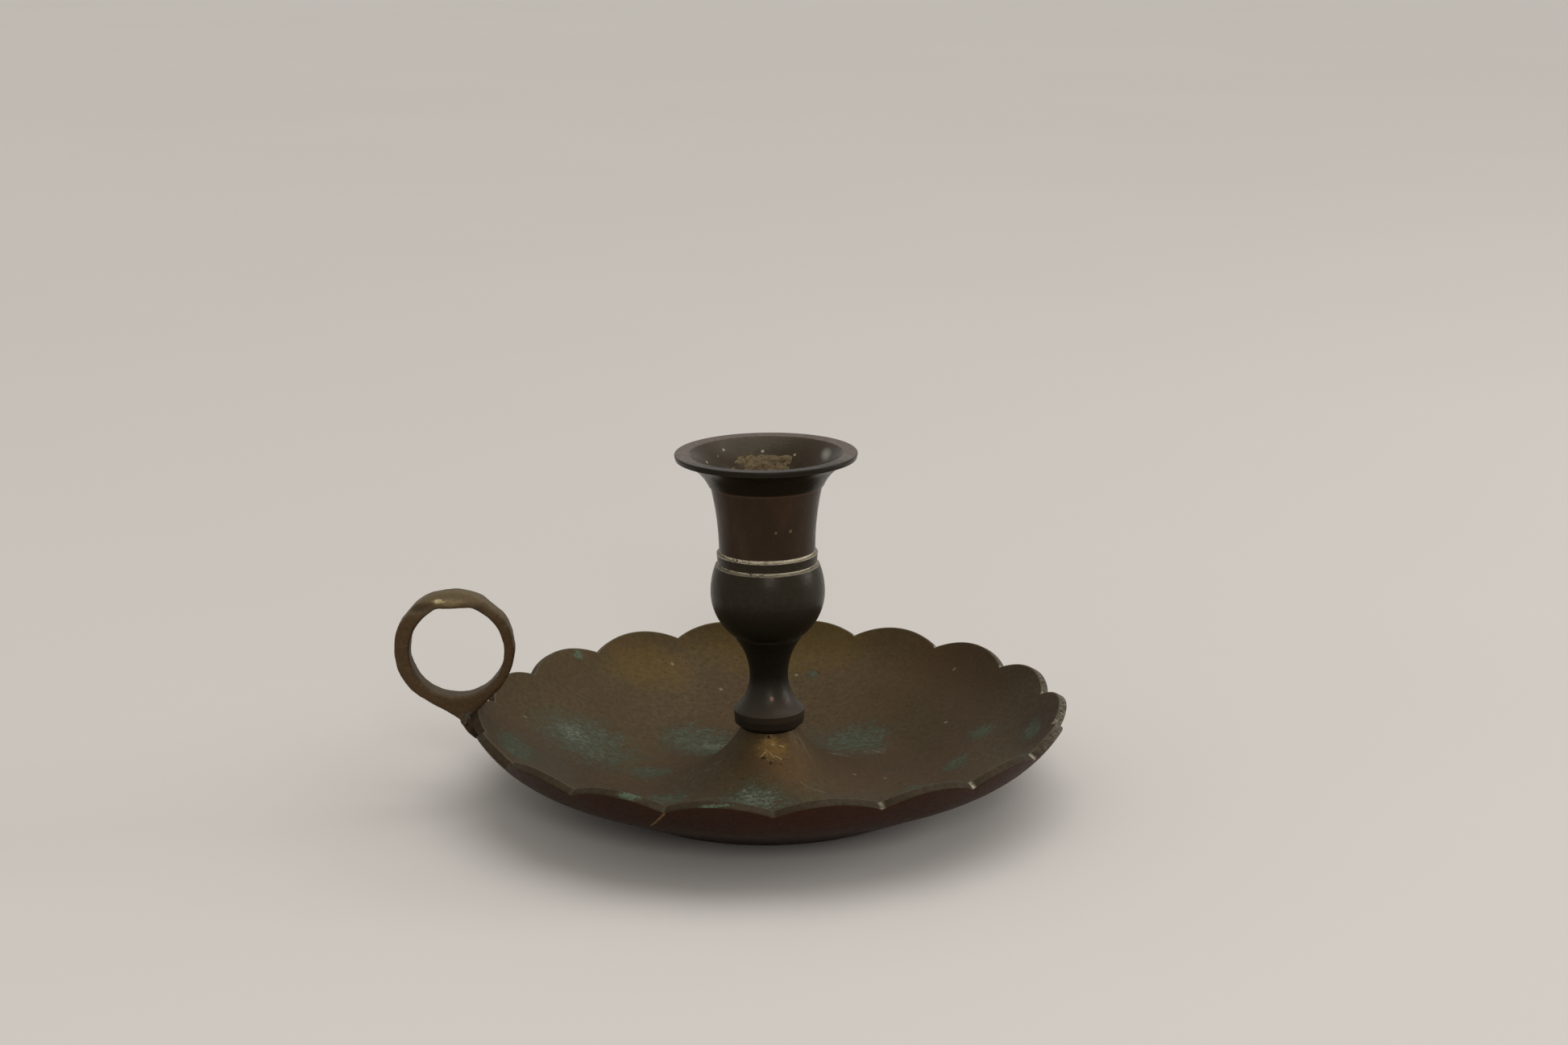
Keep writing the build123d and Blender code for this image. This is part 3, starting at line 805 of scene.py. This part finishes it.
def loop_finish():
    """Cast and filed brass, light olive brown and matt, with file marks across, painted light on its top and
    wherever it faces up, painted shade in the finger hole, and a bright top that is partly worn metal and
    partly a painted highlight.
    """
    material, tree, point = new_finish("loop_patina")
    x, _, height = split(tree, point)
    grain = use(tree, mottle, Point=point, Size=0.7)
    cloud = use(tree, mottle, Point=point, Size=0.55)
    fine = grain["Fine"]
    filed = noise(tree, stretch(tree, point, (0.12, 0.3, 1)), 0.35 * mm, 3, 0.7)
    filed = times(tree, step(tree, filed, 0.5, 0.75), step(tree, x, *filed_reach))
    # painted light where the loop faces up
    upward = step(tree, split(tree, facing_of(tree))[2], 0.1, 0.8)
    from_hole = stretch(tree, vector(tree, "SUBTRACT", point, tuple(finger_centre)), (1, 0, 1))
    # painted shade inside the finger hole
    inner = without(tree, step(tree, length_of(tree, from_hole), *inner_reach))
    low = without(tree, step(tree, height, *low_heights))
    tab = without(tree, step(tree, height, *tab_heights))
    # lit facet and its highlight: partly bare filed metal, partly painted light; the highlight also raises
    # metal and lowers roughness
    pale = ragged(tree, point, spot(tree, point, *pale_top_place), 1.6, 0.5)
    bright = ragged(tree, point, spot(tree, point, *bright_top_place), 0.8, 0.7)
    colour = layer(
        tree, mix(tree, fine, paint(82, 64, 39), paint(65, 49, 29)),
        (cloud["Broad"], 0.5, paint(76, 52, 30)),
        # painted light on the top and on what faces up
        (step(tree, height, *top_heights), 0.6, paint(104, 88, 62)),
        (upward, 0.45, paint(110, 98, 74)),
        # painted shade inside the finger hole
        (inner, 0.5, paint(60, 46, 28)),
        (low, 0.6, paint(60, 47, 30)),
        (filed, 0.5, paint(108, 90, 62)),
        (spots(tree, point, shade_places), 0.6, paint(52, 40, 26)),
        (edge_wear(tree, 0.5), spread(tree, fine, 0.1, 0.6), paint(112, 92, 60)),
        (grain["Pits"], 0.6, paint(50, 40, 26)),
        # the lit facet and its painted highlight
        (pale, 0.6, paint(128, 112, 80)),
        (bright, 0.85, paint(176, 160, 120)),
        (tab, 0.85, mix(tree, fine, paint(60, 38, 27), paint(48, 32, 23))))
    rough = calc(tree, "SUBTRACT", spread(tree, fine, 0.46, 0.62), times(tree, bright, 0.12))
    metal = total(tree, 0.35, times(tree, bright, 0.5))
    skin = total(tree, times(tree, filed, 0.7), times(tree, fine, 0.4))
    finish_with(tree, colour, rough, metal, skin, 0.12 * mm, Specular_IOR_Level=0.25)
    return material


def solder_finish():
    """Soft solder gone dull and brown, greenish grey where it faces up, with dark hollows."""
    material, tree, point = new_finish("solder_patina")
    grain = use(tree, mottle, Point=point, Size=0.5)
    fine = grain["Fine"]
    up = step(tree, split(tree, facing_of(tree))[2], -0.2, 0.7)
    colour = layer(
        tree, mix(tree, fine, paint(56, 44, 34), paint(42, 32, 24)),
        (up, 0.6, mix(tree, grain["Broad"], paint(92, 94, 80), paint(70, 66, 54))),
        (grain["Pits"], 0.8, paint(36, 32, 26)))
    skin = total(tree, grain["Broad"], times(tree, fine, 0.6))
    finish_with(tree, colour, spread(tree, fine, 0.45, 0.65), 0.2, skin, 0.15 * mm, Specular_IOR_Level=0.25)
    return material


def nut_finish():
    """Dull brown brass under the boss."""
    material, tree, point = new_finish("nut_patina")
    grain = use(tree, mottle, Point=point, Size=0.5)
    fine = grain["Fine"]
    colour = layer(
        tree, mix(tree, fine, paint(82, 64, 38), paint(60, 46, 29)),
        (edge_wear(tree, 0.4), spread(tree, fine, 0.2, 0.9), paint(122, 100, 62)),
        (grain["Pits"], 0.6, paint(44, 36, 25)))
    finish_with(tree, colour, spread(tree, fine, 0.4, 0.6), 0.6, fine, 0.08 * mm)
    return material


# Making new pieces

def clear_selection():
    """Leave edit mode with nothing selected."""
    if bpy.context.object and bpy.context.object.mode != "OBJECT":
        bpy.ops.object.mode_set(mode="OBJECT")
    bpy.ops.object.select_all(action="DESELECT")


def pick(piece):
    """Make one piece the only one selected."""
    clear_selection()
    piece.select_set(True)
    bpy.context.view_layer.objects.active = piece


def edit_all(piece):
    """Open a piece in edit mode with all of it selected."""
    pick(piece)
    bpy.ops.object.mode_set(mode="EDIT")
    bpy.ops.mesh.select_all(action="SELECT")


def leave_edit():
    """Close edit mode."""
    bpy.ops.object.mode_set(mode="OBJECT")


def settle(piece):
    """Put the piece's place into its mesh."""
    pick(piece)
    bpy.ops.object.transform_apply(location=True, rotation=True, scale=True)


def name_new(name, scale=(1, 1, 1)):
    """Name the primitive that was just added, size it and settle it."""
    piece = bpy.context.object
    piece.name = name
    piece.scale = scale
    settle(piece)
    return piece


def apply_modifier(piece, kind, **settings):
    """Add a modifier, set it and apply it."""
    pick(piece)
    modifier = piece.modifiers.new(kind.lower(), kind)
    for name, value in settings.items():
        setattr(modifier, name, value)
    bpy.ops.object.modifier_apply(modifier=modifier.name)


def roughen(piece, size, depth):
    """Push the surface in and out by clouds of a size, as a casting's skin is."""
    clouds = bpy.data.textures.new(piece.name + "_skin", "CLOUDS")
    clouds.noise_scale = size
    clouds.noise_depth = 2
    apply_modifier(piece, "DISPLACE", texture=clouds, texture_coords="LOCAL", strength=depth, mid_level=0.5)


def cut_away(piece, cutter, operation="DIFFERENCE"):
    """Cut a piece with another one, which goes."""
    apply_modifier(piece, "BOOLEAN", operation=operation, object=cutter, solver="EXACT")
    bpy.data.objects.remove(cutter)


def join_hull():
    """In edit mode, wrap all of a piece in its convex hull, and leave edit mode."""
    bpy.ops.mesh.select_all(action="SELECT")
    bpy.ops.mesh.convex_hull()
    leave_edit()


def close_spun():
    """In edit mode, merge the seams of a spun piece and turn its faces outwards, and leave edit mode."""
    bpy.ops.mesh.select_all(action="SELECT")
    bpy.ops.mesh.remove_doubles(threshold=0.01 * mm)
    bpy.ops.mesh.normals_make_consistent(inside=False)
    leave_edit()


def filed_flat(piece, place, away):
    """File a flat on a convex piece: all that lies beyond a plane goes, and the hull closes the cut."""
    edit_all(piece)
    bpy.ops.mesh.bisect(plane_co=place, plane_no=away, use_fill=False, clear_outer=True, clear_inner=False)
    join_hull()


def add_disc(centre, radius, depth, turn, sides):
    """Add a cylinder that is turned from upright, as a new piece or to the piece in edit mode."""
    bpy.ops.mesh.primitive_cylinder_add(vertices=sides, radius=radius, depth=depth, location=centre,
                                        rotation=turn)


# The finger loop: flats filed round the ring, as a direction in degrees and a distance from its centre,
# flats on its two faces and in the hole, as a place and the way out, and the hollow worn in its face
across_loop = (pi / 2, 0, 0)
ring_flats = ((46, 14.2), (8, 14.4), (140, 14.35), (176, 14.45), (95, 14.45))
face_flats = (((-77.5, -2.7, 50.3), (0.02, -0.86, 0.5)), ((-77.5, 2.7, 50.9), (0, 0.86, 0.5)))
hole_flats = (((-75.7, 0, 48.6), (-0.03, 0, 1)), ((-67.6, 0, 46.2), (0.72, 0, 0.69)),
              ((-84.6, 0, 45.4), (-0.75, 0, 0.66)), ((-64.4, 0, 36.0), (1, 0, -0.1)))
hollow_centre = Vector((-84.2, -2.9, 48.9)) * mm
hollow_size = Vector((6.6, 1.4, 2.0)) * mm
tab_faces = (0.14 * mm, 2.9 * mm)  # how far from the wall


def loop_blank():
    """Ring and neck as one flat plate, the hull of a large and a small disc, with flats filed round it."""
    clear_selection()
    add_disc(ring_centre, ring_radius, loop_width, across_loop, 96)
    blank = name_new("finger_ring")
    bpy.ops.object.mode_set(mode="EDIT")
    add_disc(neck_centre, neck_radius, loop_width, across_loop, 24)
    join_hull()
    for angle, out in ring_flats:
        away = Vector((cos(radians(angle)), 0, sin(radians(angle))))
        filed_flat(blank, ring_centre + out * mm * away, away)
    for place, away in face_flats:
        filed_flat(blank, Vector(place) * mm, Vector(away))
    return blank


def finger_hole():
    """The core of the finger hole, cut flat along its top."""
    clear_selection()
    add_disc(finger_centre, finger_radius, 12 * mm, across_loop, 72)
    core = name_new("finger_hole_core")
    for place, away in hole_flats:
        filed_flat(core, Vector(place) * mm, Vector(away))
    return core


def worn_hollow():
    """What is worn out of the ring's face at the upper left."""
    clear_selection()
    bpy.ops.mesh.primitive_cube_add(size=1, location=hollow_centre)
    return name_new("worn_hollow", hollow_size)


def wall_strip(name, width, near, far, length):
    """A strip bent down the outside of the pan's wall from the rim, between two distances from the wall."""
    clear_selection()
    outward = Vector((-sin(rim_lean), 0, -cos(rim_lean)))
    middle = bend_centre + (bend_radius + (near + far) / 2) * outward
    bpy.ops.mesh.primitive_plane_add(size=1, location=middle, rotation=(0, rim_lean - pi / 2, 0))
    strip = name_new(name, (far - near, width, 1))
    edit_all(strip)
    bpy.ops.mesh.spin(steps=16, angle=length / bend_radius, center=bend_centre, axis=(0, 1, 0))
    close_spun()
    return strip


def tab_outline(grow):
    """A prism through the wall, shaped as the tab: a round lower end and straight sides up past the rim."""
    clear_selection()
    down = Vector((-sin(tab_lean), 0, -cos(tab_lean)))
    up = Vector((-cos(tab_lean), 0, sin(tab_lean)))
    foot = bend_centre + bend_radius * down + (tab_width / 2 - tab_length / 2) * up
    turn = (0, pi + tab_lean, 0)
    radius = tab_width / 2 + grow
    depth = 14 * mm
    add_disc(foot, radius, depth, turn, 48)
    prism = name_new("tab_outline")
    bpy.ops.object.mode_set(mode="EDIT")
    add_disc(foot + tab_length * up, radius, depth, turn, 48)
    join_hull()
    return prism


def make_loop():
    """The cast loop, filed by hand, with its tab against the pan's wall."""
    ring = loop_blank()
    cut_away(ring, finger_hole())
    cut_away(ring, worn_hollow())
    apply_modifier(ring, "BEVEL", width=1.5 * mm, segments=3, limit_method="ANGLE", angle_limit=radians(40))
    tab = wall_strip("tab", tab_width + 4 * mm, *tab_faces, 9 * mm)
    cut_away(tab, tab_outline(0), "INTERSECT")
    pick(tab)
    ring.select_set(True)
    bpy.context.view_layer.objects.active = ring
    bpy.ops.object.join()
    apply_modifier(ring, "REMESH", mode="VOXEL", voxel_size=0.2 * mm)
    apply_modifier(ring, "SMOOTH", factor=0.5, iterations=60)
    roughen(ring, 5.0 * mm, 0.4 * mm)
    roughen(ring, 1.3 * mm, 0.12 * mm)
    return ring


# The solder: the lumps on each side of the neck as place and size in millimetres, and its faces
solder_lumps = (((-73.6, 2.9, 21.4), (1.0, 1.2, 1.2)), ((-73.9, 3.9, 20.2), (0.8, 1.2, 0.9)))
solder_faces = (0.0, 0.7 * mm)  # how far from the wall
solder_past_tab = 0.5 * mm


def add_lump(piece, centre, size):
    """Add a lump of metal to a piece, to be blended with it."""
    pick(piece)
    bpy.ops.object.mode_set(mode="EDIT")
    bpy.ops.mesh.select_all(action="DESELECT")
    bpy.ops.mesh.primitive_ico_sphere_add(subdivisions=3, radius=1, location=Vector(centre) * mm,
                                          scale=Vector(size) * mm)
    leave_edit()


def make_solder():
    """The run of solder: a skirt round the tab, and lumps in the angles beside the neck."""
    skirt = wall_strip("solder_run", tab_width + 6 * mm, *solder_faces, 10 * mm)
    cut_away(skirt, tab_outline(solder_past_tab), "INTERSECT")
    for side in (-1, 1):
        for (x, y, z), size in solder_lumps:
            add_lump(skirt, (x, side * y, z), size)
    apply_modifier(skirt, "REMESH", mode="VOXEL", voxel_size=0.17 * mm)
    apply_modifier(skirt, "SMOOTH", factor=0.5, iterations=4)
    roughen(skirt, 1.8 * mm, 0.3 * mm)
    return skirt


# The wax crust
wax_lean = radians(31.5)  # of the place on the mouth's bend where it lies
wax_start = radians(66)  # where it starts, round the axis
wax_sweep = radians(72)  # how far round it goes
wax_shift = 2 * mm  # how far in front of the axis it is spun about
wax_sunk = 0.12 * mm  # how deep its middle lies in the metal
wax_half_size = (2.3 * mm, 0.34 * mm)  # half its width and half its thickness


def make_wax():
    """The crust of old wax at the back of the mouth, thickest in the middle."""
    clear_selection()
    reach = mouth_bend_radius - wax_sunk
    out = mouth_bend_centre[0] - reach * cos(wax_lean) + wax_shift
    up = mouth_bend_centre[1] + reach * sin(wax_lean)
    place = (out * cos(wax_start), out * sin(wax_start) - wax_shift, up)
    bpy.ops.mesh.primitive_circle_add(vertices=20, radius=1, fill_type="NGON", location=place,
                                      rotation=(pi / 2, wax_lean - pi / 2, wax_start))
    crust = name_new("wax_crust", (*wax_half_size, 1))
    edit_all(crust)
    bpy.ops.mesh.spin(steps=40, angle=wax_sweep, center=(0, -wax_shift, 0), axis=(0, 0, -1))
    close_spun()
    apply_modifier(crust, "REMESH", mode="VOXEL", voxel_size=0.13 * mm)
    roughen(crust, 1.8 * mm, 1.1 * mm)
    roughen(crust, 0.6 * mm, 0.3 * mm)
    return crust


def shade(piece):
    """Smooth shading but for sharp edges."""
    pick(piece)
    bpy.ops.object.shade_smooth_by_angle(angle=sharp_angle)


def dress(piece, finish):
    """Give a piece its finish."""
    piece.data.materials.clear()
    piece.data.materials.append(finish)


def add_piece(piece, finish, slot, *replaced):
    """Give a new piece its shading, its finish and its body."""
    shade(piece)
    dress(piece, finish)
    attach(piece, "root")
    if replaced:
        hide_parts(*replaced)


# The room

def make_floor():
    """A plain pale floor."""
    clear_selection()
    bpy.ops.mesh.primitive_plane_add(size=16, location=(0, 4, 0))
    floor = name_new("floor")
    material, tree, point = new_finish("floor_paint")
    cloud = noise(tree, point, 0.4, 3)
    colour = mix(tree, cloud, paint(204, 199, 192), paint(209, 204, 198))
    finish_with(tree, colour, 0.8, 0.0, cloud, 0.01 * mm)
    dress(floor, material)


def hang(light, place, target):
    """Put a light at a place and turn it to a target."""
    holder = bpy.data.objects.new(light.name, light)
    bpy.context.scene.collection.objects.link(holder)
    look = (Vector(target) - Vector(place)).to_track_quat("-Z", "Y").to_matrix().to_4x4()
    holder.matrix_world = Matrix.Translation(Vector(place)) @ look


def lamp(name, place, size, power):
    """A soft square lamp that looks at the stick."""
    light = bpy.data.lights.new(name, "AREA")
    light.shape = "RECTANGLE"
    light.size = size
    light.size_y = size
    light.energy = power
    hang(light, place, (0, 0, 0.04))


def set_light():
    """Even light of a pale room, soft light from above, a window low at the right and one by the camera."""
    world = bpy.data.worlds.new("room")
    bpy.context.scene.world = world
    world.use_nodes = True
    room = world.node_tree.nodes["Background"]
    room.inputs["Color"].default_value = (1.0, 0.97, 0.93, 1)
    room.inputs["Strength"].default_value = 0.5
    above = bpy.data.lights.new("above", "SUN")
    above.energy = 1.05
    above.angle = radians(60)
    hang(above, (0.25, 0.15, 1.0), (0, 0, 0))
    lamp("window", (1.2, 0.1, 0.4), 0.5, 4)
    lamp("near_camera", (0.1, -1.3, 0.7), 0.35, 4)
    bpy.context.scene.view_settings.view_transform = "Standard"


def main():
    set_camera()
    set_light()
    make_floor()
    dress(nodes["drip_pan"], pan_finish())
    dress(nodes["stem"], stem_finish())
    dress(nodes["candle_cup"], cup_finish())
    dress(nodes["stem_nut"], nut_finish())
    add_piece(make_loop(), loop_finish(), "loop_brass", "finger_loop")
    add_piece(make_solder(), solder_finish(), "solder", "loop_solder")
    add_piece(make_wax(), wax_finish(), "cup_brass")


main()
